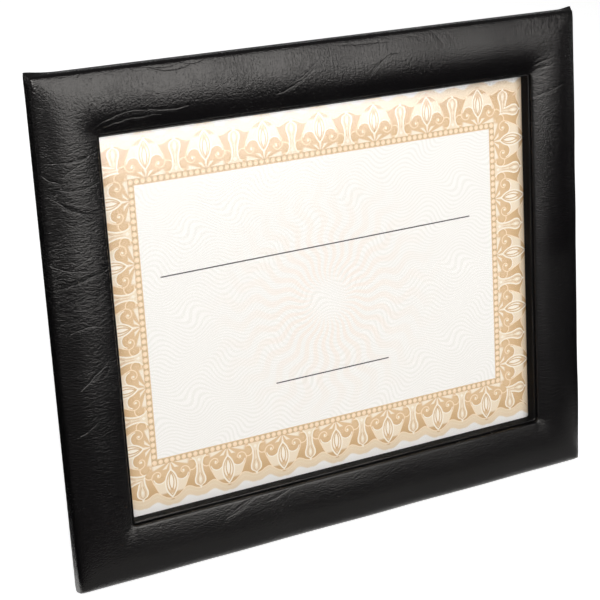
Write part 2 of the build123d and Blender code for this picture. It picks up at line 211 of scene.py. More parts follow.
class Value:
    """A socket over a surface: an expression on numbers adds its Math nodes."""

    def __init__(self, finish, socket):
        self.finish = finish
        self.socket = socket

    def math(self, operation, *others):
        return self.finish.add("Math", {"operation": operation}, dict(enumerate((self, *others))))

    __add__ = __radd__ = partialmethod(math, "ADD")
    __sub__ = partialmethod(math, "SUBTRACT")
    __mul__ = __rmul__ = partialmethod(math, "MULTIPLY")
    __truediv__ = partialmethod(math, "DIVIDE")
    __pow__ = partialmethod(math, "POWER")
    __abs__ = partialmethod(math, "ABSOLUTE")

    def __rsub__(self, other):
        return self.finish.add("Math", {"operation": "SUBTRACT"}, {0: other, 1: self})

    def between(self, low, high):
        """A value from 0 to 1 spread from a low to a high one."""
        return self * (high - low) + low

    def above(self, edge, soft):
        """1 past an edge and 0 before it, with a soft step between."""
        steps = {"Value": self, "From Min": edge - soft / 2, "From Max": edge + soft / 2}
        return self.finish.add("MapRange", {"interpolation_type": "SMOOTHSTEP"}, steps)

    def below(self, edge, soft):
        """1 before an edge and 0 past it, with a soft step between."""
        return 1 - self.above(edge, soft)

    def near(self, middle, half, soft):
        """1 within half a width of a middle."""
        return abs(self - middle).below(half, soft)

    def beside(self, name):
        """Another output of the same node."""
        return Value(self.finish, self.socket.node.outputs[name])


# A Mix node's colour sockets and its colour output
MIX_UNDER = 6
MIX_OVER = 7
MIX_RESULT = 2


class Finish:
    """The nodes of a material or of the world."""

    def __init__(self, owner):
        self.owner = owner
        owner.use_nodes = True
        self.tree = owner.node_tree
        self.tree.nodes.clear()

    def add(self, kind, settings=None, inputs=None, output=0):
        """Adds a node with its settings and the values or links of its sockets, and gives an output."""
        node = self.tree.nodes.new(f"ShaderNode{kind}")
        for name, setting in (settings or {}).items():
            if name == "points":
                draw_curve(node.mapping, setting)
            else:
                setattr(node, name, setting)
        for key, given in (inputs or {}).items():
            if isinstance(given, Value):
                self.tree.links.new(given.socket, node.inputs[key])
            else:
                node.inputs[key].default_value = given
        return Value(self, node.outputs[output]) if node.outputs else None

    def paint(self, under, mask, over):
        """Paints a colour over another where a mask is 1."""
        inputs = {0: mask, MIX_UNDER: solid(under), MIX_OVER: solid(over)}
        return self.add("Mix", {"data_type": "RGBA"}, inputs, MIX_RESULT)

    def layers(self, under, layers, measures, colours):
        """Paints layers over a colour: each has a colour's name, a tone and tests on measures."""
        for name, tone, *tests in layers:
            mask = tone
            for measure, test, *sizes in tests:
                mask = getattr(measures[measure], test)(*sizes) * mask
            under = self.paint(under, mask, getattr(colours, name))
        return under

    def vector(self, operation, first, second, output=0):
        return self.add("VectorMath", {"operation": operation}, {0: first, 1: second}, output)

    def upright(self):
        """Object coordinates in millimetres from the middle of the certificate, upright."""
        place = self.add("TexCoord", output="Object")
        turn = {"Location": SHEET_MIDDLE, "Rotation": (-LEAN, 0, 0), "Scale": (MM, MM, MM)}
        return self.add("Mapping", {"vector_type": "TEXTURE"}, {"Vector": place, **turn})

    def split(self, vector):
        first = self.add("SeparateXYZ", inputs={0: vector})
        return [first.beside(axis) for axis in "XYZ"]

    def join(self, *numbers):
        return self.add("CombineXYZ", inputs=dict(enumerate(numbers)))

    def stretch(self, vector, size):
        """A vector divided by a size, one for all axes or one for each."""
        return self.vector("DIVIDE", vector, size if isinstance(size, tuple) else (size, size, size))

    def noise(self, vector, size, detail=2.0, rough=0.5):
        inputs = {"Vector": self.stretch(vector, size), "Scale": 1, "Detail": detail, "Roughness": rough}
        return self.add("TexNoise", inputs=inputs)

    def cells(self, place, wander, size, feature="F1"):
        """The cells of a grain, pushed about by a noise."""
        spot = self.stretch(self.vector("ADD", place, wander.beside("Color")), size)
        return self.add("TexVoronoi", {"feature": feature}, {"Vector": spot, "Scale": 1})

    def apart(self, spot, place):
        """The distance between a spot on the surface and a fixed place."""
        return self.vector("DISTANCE", spot, (*place, 0), "Value")

    def drawn(self, value, points):
        """A smooth curve through points, whose inputs and outputs start at 0 or more."""
        span = points[-1][0]
        reach = max(point[1] for point in points)
        shape = [(a / span, b / reach) for a, b in points]
        return self.add("FloatCurve", {"points": shape}, {"Value": value / span}) * reach

    def bump(self, height, depth, strength=1.0):
        """The normal of a relief whose height 1 stands for a depth in millimetres."""
        inputs = {"Height": height, "Distance": depth * MM, "Strength": strength}
        return self.add("Bump", inputs=inputs)

    def principled(self, colour, roughness, normal, specular=0.5, others=None):
        named = {"Base Color": solid(colour), "Roughness": roughness, "Specular IOR Level": specular}
        return self.add("BsdfPrincipled", inputs={**named, "Normal": normal, **(others or {})})

    def show(self, shader):
        """Makes a shader the surface of the material or the world."""
        kind = "World" if isinstance(self.owner, bpy.types.World) else "Material"
        self.add(f"Output{kind}", inputs={"Surface": shader})
        return self.owner


def draw_curve(mapping, points):
    """Puts a node's curve through points."""
    curve = mapping.curves[0]
    while len(curve.points) < len(points):
        curve.points.new(0, 0)
    for point, place in zip(curve.points, points):
        point.location = place
    mapping.update()


def solid(given):
    """A colour with its alpha, or whatever else a socket takes."""
    is_colour = not isinstance(given, (Value, float, int, str)) and len(given) == 3
    return (*given, 1.0) if is_colour else given


def tinted(tint, gain):
    """A colour made darker or lighter."""
    return tuple(gain * level for level in tint)


def material(name):
    return Finish(bpy.data.materials.new(name))


def dress(nodes, finish):
    """Gives CAD nodes a finish."""
    for node in nodes:
        slots = NODES[node].data.materials
        slots.clear()
        slots.append(finish)


# Leatherette: pebbles, fine wrinkles that cross the rails, sharp crease bottoms, and the dull turned edge
# around the window. Sizes are in millimetres, and a relief is a share of the grain's depth.
WRINKLE_SIZES = (1.9, 1.9, 6.5)
WRINKLE_SWAY = 3.0
WRINKLE_SHARPNESS = 6.0
CALM_PATCH = 0.3
LONG_CREASE_SHARE = 0.3
LONG_CREASE_SPAN = 9.0
CREASE_BOTTOM = (0, 0.15, 0.6)
FINE_DRIFT = 0.8
WIDE_DRIFT = 2.0
WEAR_MIDDLE = 0.2
WEAR_ACROSS = -0.0031
WEAR_UP = 0.0075
WEAR_LEAST = 0.06
WEAR_MOST = 0.8
PEBBLE_RELIEF = 0.75
FINE_RELIEF = 0.4
WRINKLE_RELIEF = 0.8
CREASE_RELIEF = 2.4
CELL_ROUGHNESS = 0.08
SKIN_TINT = (1, 0.965, 0.925, 1)


def wear(x, z):
    """How much the skin is wrinkled at an upright place in millimetres: about 0 to 1."""
    return x * WEAR_ACROSS + z * WEAR_UP + WEAR_MIDDLE


def crease_lines(x, z):
    """Where the sharp bottoms of the long creases run, each along a parabola through its points."""
    folds = 0
    for depth, *line in CREASES:
        points = np.array(line)
        spans = np.ptp(points, axis=0)
        way = int(spans.argmax())
        if depth < LONG_CREASE_SHARE or spans[way] < LONG_CREASE_SPAN:
            continue
        bow, slope, height = (float(term) for term in np.polyfit(points[:, way], points[:, 1 - way], 2))
        run = (x, z)[way]
        gap = (x, z)[1 - way] - ((run * bow + slope) * run + height)
        half = float(spans[way] / 2)
        middle = float(points[:, way].min() + half)
        folds = gap.near(*CREASE_BOTTOM) * run.near(middle, half, half) * depth + folds
    return folds


def leatherette_finish(rails):
    finish = material("leatherette")
    place = finish.upright()
    x, _, z = finish.split(place)
    wander = finish.noise(place, size=2.2, detail=1.0)
    cell = finish.cells(place, wander, rails.pebble / MM)
    fine = finish.noise(place, size=0.6)

    along, across, _ = finish.split(finish.add("UVMap", {"uv_map": "skin"}))
    turn = along * (2 * math.pi)
    ring = (OUTER_WIDTH + OUTER_HEIGHT - 2 * RAIL_WIDTH) / math.pi / MM
    drift = finish.noise(place, size=7.0)
    sway = drift * WRINKLE_SWAY
    loop = finish.join(turn.math("COSINE") * ring + sway, turn.math("SINE") * ring + sway, across / MM)
    wrinkle = finish.noise(loop, WRINKLE_SIZES, detail=3.0, rough=0.6)
    ridge = (1 - abs(wrinkle * 2 - 1)) ** WRINKLE_SHARPNESS
    patch = finish.noise(place, size=26.0, detail=1.0).above(edge=0.48, soft=0.3)
    worn = wear(x, z).math("MAXIMUM", WEAR_LEAST).math("MINIMUM", WEAR_MOST) * patch.between(CALM_PATCH, 1)
    crease = crease_lines(x, z + (wander - 0.5) * FINE_DRIFT + (drift - 0.5) * WIDE_DRIFT)
    relief = (1 - cell) * PEBBLE_RELIEF + fine * FINE_RELIEF
    relief = relief - ridge * worn * WRINKLE_RELIEF - crease * CREASE_RELIEF
    grain = finish.bump(relief, depth=0.16, strength=0.9)

    tone = finish.noise(place, size=30.0, detail=3.0)
    black = finish.paint(rails.black, tone, tinted(rails.black, gain=1.35))
    roughness = tone.between(low=0.14, high=0.24) + cell * CELL_ROUGHNESS
    skin = finish.principled(black, roughness, grain, specular=0.64, others={"Specular Tint": SKIN_TINT})
    edge = finish.principled(rails.black, roughness=0.6, normal=grain, specular=0.06)
    wall = finish.add("Attribute", {"attribute_name": "turned_edge"}, output="Fac")
    return finish.show(finish.add("MixShader", inputs={0: wall, 1: skin, 2: edge}))


# The certificate's border, in millimetres: places are (along the border from a palmette's axis,
# outwards from the edge of the field). Discs are (place, radius), diamonds (place, half sizes),
# lenses (middle, length, width) and the curl (middle, start in degrees, outer and inner radius).
FIELD_SHIFT = (-1.2, -0.35)
REPEAT_ACROSS = 33.2
REPEAT_UP = 32.6
DROP_AXIS = 16.6
CUP_EDGE = [(0.0, 11.0), (11.5, 10.6), (15.0, 9.2), (19.0, 7.2), (22.0, 4.9), (24.0, 2.0)]
FAN_ROOT = (0.0, 2.6)
FAN_LEAVES = 9.0
SCROLL = ((12.1, 7.3), 2.9)
VOLUTE = ((6.3, 10.2), 3.7)
LOBE = ((3.0, 9.0), 2.5)
HEART_BLEND = 2.0
COMMA = ((5.9, 11.5), (1.7, 0.5))
COMMA_SLANT = 0.2
CURL = ((7.2, 9.4), 23.0, 4.1, 0.55)
CURL_EYE = (7.2, 9.2)
LENS = (14.9, 15.4, 7.0)
LEAF = (13.8, 8.2, 1.9)
DROP_HALF = [(0.0, 4.6), (3.6, 3.9), (4.6, 2.8), (6.0, 2.1), (8.5, 1.55), (11.5, 1.7), (14.0, 2.3),
             (17.0, 3.0), (19.0, 2.3), (21.2, 0.0), (26.0, 0.0)]
DROP_GEM = ((DROP_AXIS, 16.6), (0.6, 1.6))
DROP_FOOT = ((DROP_AXIS, 5.6), (1.0, 1.2))
RIBBON_TOP = [(0.0, 23.3), (3.0, 22.5), (6.0, 20.5), (8.6, 18.8), (11.0, 19.2), (14.0, 20.7), (16.6, 21.1)]
RIBBON_WIDE = [(0.0, 3.3), (8.6, 5.0), (16.6, 4.4)]
BEADS_ACROSS = 32
BEADS_UP = 22
BEAD_PITCH = 3.3
BEAD_MIDDLE = 1.85
GLINT_MIDDLE = 1.6

# Layers from below: a colour, its tone, and tests on measures, which are below or above (place, softness)
# or near (middle, half width, softness)
SOFT = 0.25
RIM = ("below", 0, SOFT)
FINE_LINE = ("near", 0, 0.27, SOFT)
BOLD_LINE = ("near", 0, 0.36, SOFT)
BORDER_LAYERS = [
    ("deep", 1, ("out", "above", 13, 12)),
    ("petal", 1, ("cup", *RIM), ("out", "near", 16.3, 3.6, 1.5)),
    ("outline", 1, ("cup", *FINE_LINE), ("out", "above", 11, 0.4)),
    ("line", 0.85, ("fan", "above", 0.1, 0.9), ("root", "below", 10.5, 2.5), ("out", "below", 7.4, 1.4)),
    ("ground", 1, ("scroll", *RIM), ("aside", "above", 10.4, 1.2)),
    ("deep", 0.5, ("scroll", "near", -0.8, 0.5, 0.9), ("aside", "above", 12, 2)),
    ("outline", 1, ("scroll", *FINE_LINE), ("aside", "above", 11.2, 0.8)),
    ("ground", 1, ("heart", *RIM)),
    ("deep", 0.6, ("heart", *RIM), ("out", "above", 11, 5)),
    ("line", 1, ("heart", *FINE_LINE), ("out", "above", 11, 1)),
    ("deep", 0.7, ("comma", "below", 1, 1.6)),
    ("outline", 1, ("curl", *FINE_LINE)),
    ("line", 1, ("eye", "below", 0.6, 0.6)),
    ("petal", 1, ("lens", *RIM)),
    ("deep", 1, ("lens", "near", -0.75, 0.2, SOFT)),
    ("ground", 1, ("lens", "below", -1, SOFT), ("out", "near", 19, 1.5, 1)),
    ("line", 1, ("lens", "near", -1.6, 0.3, SOFT), ("out", "near", 15.5, 3, 1)),
    ("deep", 1, ("leaf", "near", 0.35, 0.25, SOFT)),
    ("line", 1, ("leaf", *RIM)),
    ("line", 1, ("lens", *BOLD_LINE)),
    ("ribbon", 1, ("ribbon", "above", 0, SOFT), ("aside", "above", 1, 0.8)),
    ("ribbon", 1, ("ribbon", "above", 0.8, 0.6)),
    ("petal", 0.5, ("ribbon", "near", 2, 0.3, 0.4)),
    ("outline", 1, ("ribbon", *FINE_LINE)),
    ("petal", 1, ("drop", *RIM)),
    ("ground", 1, ("drop", "near", -0.95, 0.2, SOFT), ("out", "above", 8, 1)),
    ("deep", 1, ("drop", "near", -1.6, 0.2, SOFT), ("out", "above", 13, 1)),
    ("line", 1, ("gem", "below", 1, 0.5)),
    ("line", 1, ("foot", "below", 1, 0.6)),
    ("line", 1, ("drop", *BOLD_LINE), ("out", "below", 21.6, 0.4)),
    ("paper", 1, ("ribbon_foot", "above", 0, 1.2)),
]
BEAD_LAYERS = [
    ("bead_gap", 1, ("out", "near", BEAD_MIDDLE, 1.3, 0.3)),
    ("bead", 1, ("bead", "below", 1.28, 0.35)),
    ("line", 0.5, ("glint", "below", 0.5, 0.7)),
]
FIELD_LAYERS = [
    ("wave", 0.6, ("wave", "above", 0.2, 1.2)),
    ("rosette", 0.5, ("ray", "above", 0, 1.4), ("reach", "above", 12, 14), ("reach", "below", 42, 84)),
    ("ink", 1, ("upper_rule", "near", 0, 0.32, 0.2), ("x", "near", -3.35, 94.15, 0.2)),
    ("ink", 1, ("lower_rule", "near", 0, 0.32, 0.2), ("x", "near", -0.65, 35.15, 0.2)),
]

# The field: a sine is (length, height), and a rule is (height, slope)
SWAY_SINE = (7.5, 1.4)
SWELL_SINE = (5.2, 3.4)
SLANT_LENGTHS = (13, 6.5)
SLANT_HEIGHT = 2.2
WAVE_PITCH = 1.9
ROSETTE_MIDDLE = (-1.2, -6.0)
ROSETTE_RAYS = 32
RAY_SINE = (3.1, 1.6)
UPPER_RULE = (24.3, 0.0105)
LOWER_RULE = (-46.3, 0.004)


def lens_depth(finish, spot, middle, long, wide):
    """How far a spot lies outside a pointed lens on the palmette's axis."""
    radius = (wide**2 + long**2) / (4 * wide)
    return finish.apart(spot, (wide / 2 - radius, middle)) - radius


def curl_gap(finish, spot, aside, out):
    """How far a spot lies outside the line that curls into a volute's eye, in one turn from its start."""
    middle, start, outer, inner = CURL
    side = aside - middle[0]
    rise = out - middle[1]
    cosine = math.cos(math.radians(start))
    sine = math.sin(math.radians(start))
    wind = (rise * cosine - side * sine).math("ARCTAN2", side * -cosine - rise * sine)
    turn = wind / (2 * math.pi) + 0.5
    return finish.apart(spot, middle) - (turn * math.log(inner / outer)).math("EXPONENT") * outer


def disc_gap(finish, spot, disc):
    """How far a spot lies outside a disc."""
    return finish.apart(spot, disc[0]) - disc[1]


def diamond(aside, out, place, half):
    """1 on a diamond's edge, and less inside it."""
    return abs(aside - place[0]) / half[0] + abs(out - place[1]) / half[1]


def border_measures(finish, aside, out):
    """What the border's layers are tested on."""
    spot = finish.join(aside, out)
    ribbon = out - finish.drawn(aside, RIBBON_TOP)
    lobe = disc_gap(finish, spot, LOBE)
    return {
        "aside": aside,
        "out": out,
        "cup": aside - finish.drawn(out, CUP_EDGE),
        "fan": (aside.math("ARCTAN2", out - FAN_ROOT[1]) * FAN_LEAVES).math("COSINE"),
        "root": finish.apart(spot, FAN_ROOT),
        "scroll": disc_gap(finish, spot, SCROLL),
        "heart": disc_gap(finish, spot, VOLUTE).math("SMOOTH_MIN", lobe, HEART_BLEND),
        "comma": diamond(aside, out + aside * COMMA_SLANT, *COMMA),
        "curl": curl_gap(finish, spot, aside, out),
        "eye": finish.apart(spot, CURL_EYE),
        "lens": lens_depth(finish, spot, *LENS),
        "leaf": lens_depth(finish, spot, *LEAF),
        "ribbon": ribbon,
        "ribbon_foot": ribbon - finish.drawn(aside, RIBBON_WIDE),
        "drop": DROP_AXIS - aside - finish.drawn(out, DROP_HALF),
        "gem": diamond(aside, out, *DROP_GEM),
        "foot": diamond(aside, out, *DROP_FOOT),
    }


def bead_band(finish, turns, out, sheet):
    """The row of beads around the field."""
    spot = finish.join((0.5 - abs(turns).math("PINGPONG", 0.5)) * BEAD_PITCH, out)
    bead = finish.apart(spot, (0, BEAD_MIDDLE))
    glint = finish.apart(spot, (0, GLINT_MIDDLE))
    return finish.layers(sheet.ground, BEAD_LAYERS, {"out": out, "bead": bead, "glint": glint}, sheet)


def field(finish, x, z, sheet):
    """The plain field: faint waves, a faint rosette and two ruled lines to write on."""
    sway = (z / SWAY_SINE[0]).math("SINE") * SWAY_SINE[1]
    swell = z + (x / SWELL_SINE[0] + sway).math("SINE") * SWELL_SINE[1]
    swell = swell + (x / SLANT_LENGTHS[0] - z / SLANT_LENGTHS[1]).math("SINE") * SLANT_HEIGHT
    side = x - ROSETTE_MIDDLE[0]
    rise = z - ROSETTE_MIDDLE[1]
    reach = (side * side + rise * rise).math("SQRT")
    sway = (reach / RAY_SINE[0]).math("SINE") * RAY_SINE[1]
    measures = {
        "x": x,
        "wave": (swell * (2 * math.pi / WAVE_PITCH)).math("SINE"),
        "reach": reach,
        "ray": (rise.math("ARCTAN2", side) * ROSETTE_RAYS + sway).math("SINE"),
        "upper_rule": z - x * UPPER_RULE[1] - UPPER_RULE[0],
        "lower_rule": z - x * LOWER_RULE[1] - LOWER_RULE[0],
    }
    return finish.layers(sheet.paper, FIELD_LAYERS, measures, sheet)


def certificate_finish(sheet):
    finish = material("certificate_print")
    place = finish.upright()
    x, depth, z = finish.split(place)
    half_width = sheet.field_width / 2 / MM
    half_height = sheet.field_height / 2 / MM
    across = x - FIELD_SHIFT[0]
    up = z - FIELD_SHIFT[1]
    past_side = abs(across) - half_width
    past_end = abs(up) - half_height
    at_end = (past_end - past_side).above(edge=0, soft=0.02)
    at_side = 1 - at_end
    out = past_side.math("MAXIMUM", past_end)
    turns = across / REPEAT_ACROSS * at_end + up / REPEAT_UP * at_side
    aside = abs(turns).math("PINGPONG", 0.5) * (2 * DROP_AXIS)
    colour = finish.layers(sheet.ground, BORDER_LAYERS, border_measures(finish, aside, out), sheet)
    turns = across * (BEADS_ACROSS / half_width) * at_end + up * (BEADS_UP / half_height) * at_side
    colour = finish.paint(colour, out.below(edge=3.5, soft=0.15), bead_band(finish, turns, out, sheet))
    colour = finish.paint(colour, out.below(edge=0, soft=0.2), field(finish, x, z, sheet))
    colour = finish.paint(sheet.paper, depth.below(edge=0, soft=0.05), colour)
    fibre = finish.bump(finish.noise(place, size=0.35), depth=0.02, strength=0.5)
    return finish.show(finish.principled(colour, roughness=0.72, normal=fibre, specular=0.3))


# The clear sheet bows a little along its top, in millimetres, and reflects more there
BOW_START = 76.0
BOW = 0.0045
CLEAR_IOR = 1.5
BOTH_FACES = 1.85
TOP_REACH = 21.0
TOP_GLARE = 3.0


def clear_sheet_finish():
    """A clear sheet with a soft gloss: it shows the print, and a lamp's glare over its bowed top."""
    finish = material("clear_sheet")
    place = finish.upright()
    _, _, z = finish.split(place)
    above = (z - BOW_START).math("MAXIMUM", 0)
    bow = finish.bump(above * above * -BOW, depth=1.0)
    roughness = finish.noise(place, size=18.0).between(low=0.18, high=0.24)
    gloss = finish.principled((1, 1, 1), roughness, bow, others={"Metallic": 1.0})
    clear = finish.add("BsdfTransparent")
    outside = 1 - finish.add("NewGeometry", output="Backfacing")
    gain = above * above * (TOP_GLARE / TOP_REACH**2) + BOTH_FACES
    bounce = finish.add("Fresnel", inputs={"IOR": CLEAR_IOR}) * outside * gain
    return finish.show(finish.add("MixShader", inputs={0: bounce, 1: clear, 2: gloss}))


# Shares in the looks of the board, the steel and the ribbon, and the steel's drawn lines in millimetres
FIBRE_FLATNESS = 0.4
FLECK_TONE = 0.6
DRAWN_SIZES = (6.0, 0.12, 0.12)
DRAWN_ROUGHNESS = 0.1
DULL_ROUGHNESS = 0.22
DULL_TONE = 0.5
ROUGHEST = 0.85
THREAD_SHARE = 0.55
SELVEDGE_START = 0.43
SELVEDGE_SOFT = 0.02
RIB_RELIEF = 0.5
THREAD_RELIEF = 0.2
SELVEDGE_RELIEF = 0.6
# How strongly the rib crests are painted lighter, as a painted highlight
RIB_HIGHLIGHT_TONE = 0.7


def lining_finish(back):
    """Charcoal paper with an embossed leather grain, a little scuffed."""
    finish = material("back_lining")
    place = finish.upright()
    wander = finish.noise(place, size=3.0, detail=1.0)
    cracks = finish.cells(place, wander, back.grain / MM, "DISTANCE_TO_EDGE").below(edge=0.12, soft=0.2)
    scuff = finish.noise(place, size=9.0, detail=5.0, rough=0.65)
    pale = tinted(back.lining, gain=1.8)
    colour = finish.paint(back.lining, scuff.above(edge=0.55, soft=0.3), pale)
    roughness = scuff.between(low=0.55, high=0.75)
    grain = finish.bump(1 - cracks, depth=0.08, strength=0.8)
    return finish.show(finish.principled(colour, roughness, grain, specular=0.35))


def board_finish(name, tint, fibre_size):
    """Pressed paper board: fibres and flecks."""
    finish = material(name)
    place = finish.upright()
    fibre = finish.noise(place, (fibre_size, fibre_size * FIBRE_FLATNESS, fibre_size), detail=4.0, rough=0.7)
    fleck = finish.noise(place, size=0.7, detail=1.0).above(edge=0.68, soft=0.08)
    shade = finish.paint(tint, fibre, tinted(tint, gain=0.72))
    colour = finish.paint(shade, fleck * FLECK_TONE, tinted(tint, gain=0.45))
    grain = finish.bump(fibre, depth=0.05, strength=0.7)
    return finish.show(finish.principled(colour, fibre.between(low=0.75, high=0.9), grain, specular=0.25))


def steel_finish(metal):
    """Plated steel with fine drawn lines and a few dull spots."""
    finish = material("plated_steel")
    place = finish.upright()
    drawn = finish.noise(place, DRAWN_SIZES, detail=3.0, rough=0.6)
    dull = finish.noise(place, size=4.0, detail=4.0, rough=0.6)
    spots = dull.above(edge=0.55, soft=0.3) * DULL_TONE
    colour = finish.paint(metal.steel, spots, tinted(metal.steel, gain=0.62))
    roughness = dull * DULL_ROUGHNESS + drawn * DRAWN_ROUGHNESS + (ROUGHEST - metal.polish)
    lines = finish.bump(drawn, depth=0.015, strength=0.6)
    return finish.show(finish.principled(colour, roughness, lines, others={"Metallic": 1.0}))


def ribbon_finish(ribbon):
    """Black ribbed ribbon: ribs across it, a corded selvedge along each edge, and a painted highlight along
    each rib's crest.
    """
    finish = material("ribbon_weave")
    along, across, _ = finish.split(finish.add("UVMap", {"uv_map": "weave"}))
    rib = (along * (2 * math.pi / ribbon.rib)).math("SINE")
    thread = (across * (2 * math.pi / (ribbon.rib * THREAD_SHARE))).math("SINE")
    edge = abs(across).above(ribbon.width * SELVEDGE_START, ribbon.width * SELVEDGE_SOFT)
    weave = rib * (1 - edge) * RIB_RELIEF + thread * THREAD_RELIEF + edge * SELVEDGE_RELIEF
    # Painted highlight: the ribbon is painted lighter along the rib crests, where the weave's relief is
    # highest
    light = tinted(ribbon.black, gain=2.2)
    colour = finish.paint(ribbon.black, rib.between(low=0.5, high=1) * RIB_HIGHLIGHT_TONE, light)
    roughness = edge.between(low=0.52, high=0.44)
    grain = finish.bump(weave, depth=0.09, strength=0.9)
    sheen = {"Sheen Weight": 0.25}
    return finish.show(finish.principled(colour, roughness, grain, specular=0.45, others=sheen))


# Padded rails: the ring's grid, in steps along each stretch of the section and around the ring
WALL_STEPS = 2
ROLL_STEPS = 4
CROWN_STEPS = 9
GROOVE_STEPS = 3
BEAD_STEPS = 4
LIP_WALL_STEPS = 2
TURN_STEPS = 1
BEAD_ROW = WALL_STEPS + 2 * ROLL_STEPS + 2 * CROWN_STEPS + GROOVE_STEPS + BEAD_STEPS
LIP_FOOT_ROW = BEAD_ROW + LIP_WALL_STEPS
FOLD_SHARPNESS = 0.6
MITRE_SHARPNESS = 0.9
MITRE_ROW = WALL_STEPS + 3
COLUMN_PITCH = 2.1 * MM
CORNER_STEPS = 12
SQUARE_CORNER = 80.0

# Main creases as the photographed skin has them: a share of the main crease's depth, and three points
# (x, z) in upright millimetres
CREASE_ROWS = [
    (0.7, -153, 91, -142, 91, -129, 93), (0.4, -148, 83.5, -143, 87, -137, 89),
    (0.5, -158, 86, -154, 83, -149, 81), (0.5, -151, 78, -141, 76.5, -129, 79),
    (1.0, -152, 72, -145, 67.5, -129, 63.5), (0.4, -147, 38.5, -142, 41, -137, 43),
    (0.5, -158, 41.5, -151, 38, -144, 37), (1.0, -158, 29, -145, 31.5, -128, 35),
    (0.4, -152, 6, -144, 8, -135, 7), (0.5, -150, -24, -143, -19, -134, -12),
    (0.4, -154, -48, -147, -45, -141, -40), (0.4, -99, 131, -92, 129.8, -85, 130.6),
    (0.4, -95, 129.4, -86, 128.4, -77, 130.2), (0.4, -80, 131.6, -74, 130.4, -69, 131.4),
    (0.45, -129, 105, -118, 110, -102, 110.6), (0.5, -126, 104, -112, 107.2, -96, 107.6),
    (0.5, -104, 111.4, -92, 109.6, -81, 110.2), (0.5, -30, 109.5, -19, 113.5, -8, 120.5),
    (0.4, -22, 114, -14, 118, -7, 123), (0.4, 9, 130, 22, 129, 38, 128.6),
    (0.4, 25, 112, 31, 118.5, 42, 121.5), (0.45, 63, 132.5, 67, 128.5, 70.7, 123),
    (0.45, 71, 132.5, 75, 128, 78, 122.5), (0.2, 90, 131.5, 94, 129.5, 97, 127),
    (0.3, 48, 130, 53, 129.6, 58, 128), (0.25, 123, 114, 123.4, 110, 122, 106),
    (0.35, 129.5, 108, 132, 109, 136, 110.5), (0.3, 129, 105.5, 134, 107, 139, 108.5),
    (0.3, 130, 102.5, 134, 104, 140, 104.5), (0.3, 132, 98, 135, 99.5, 139, 100.5),
    (0.45, 128, 88, 138, 90.5, 148, 93), (0.25, 129, 84.5, 133, 86, 138, 86.5),
    (0.5, -72, -108.5, -65, -105, -57, -102.4), (0.5, -76, -111, -67, -107.6, -60, -104),
    (0.4, -50, -107, -44, -105.6, -37, -103.6), (0.5, -157.5, 131.5, -156, 129.5, -155.5, 127.5),
    (0.5, -153, 131.5, -151.4, 130, -150.8, 128), (0.5, -149, 131.8, -147.4, 130.4, -146.6, 128.8),
]
CREASES = [(depth, *zip(line[::2], line[1::2])) for depth, *line in CREASE_ROWS]
CREASE_STEPS = 10
CREASE_WIDTH = 0.75
CREASE_MARGIN = 6.0
CREASE_SHOULDER = 0.45
CREASE_SHOULDER_PLACE = 1.9
CREASE_ENDS = (0.02, 0.98)
CREASE_FADE = 0.6
CREASE_WANDER = 0.7
CREASE_WANDER_SIZE = 5.0
CREASE_WANDER_SEEDS = (1, 2)
SMALL_CREASES = 150
SMALL_CREASE_SHARE = (0.15, 0.45)
SMALL_CREASE_LENGTH = (5.0, 13.0)
SMALL_CREASE_SLANT = 0.7
SMALL_CREASE_INSET = (0.2, 0.85)
SMALL_CREASE_BOW = 1.0
SMALL_CREASE_LEAST = 0.1
CREASE_SEED = 11
PUFF = 0.35
PUFF_SIZE = 34.0
PUFF_SEED = 3
SEED_SHIFT = (1, 2.7, -1.3)
FRONT_GAIN = 1.4
RAIL_SMOOTH = math.radians(50)

# Ears at the corners (side, end): shares of their size outwards and upwards, and their spread in millimetres
EARS = {(1, 1): (1.9, 1.3, 7), (-1, 1): (0.2, 1.2, 18), (-1, -1): (0.06, 0.25, 7), (1, -1): (0.06, 0.25, 7)}


def turned(centre, radius, start, end, steps):
    """Points of an arc after its first: angle 0 points to the front, a right angle to the outer edge."""
    angles = np.linspace(start, end, steps + 1)[1:]
    return [(centre[0] - radius * math.cos(a), centre[1] - radius * math.sin(a)) for a in angles]


def straight(start, end, steps):
    """Points of a line after its first."""
    shares = np.linspace(0, 1, steps + 1)[1:]
    return [tuple(a + (b - a) * s for a, b in zip(start, end)) for s in shares]


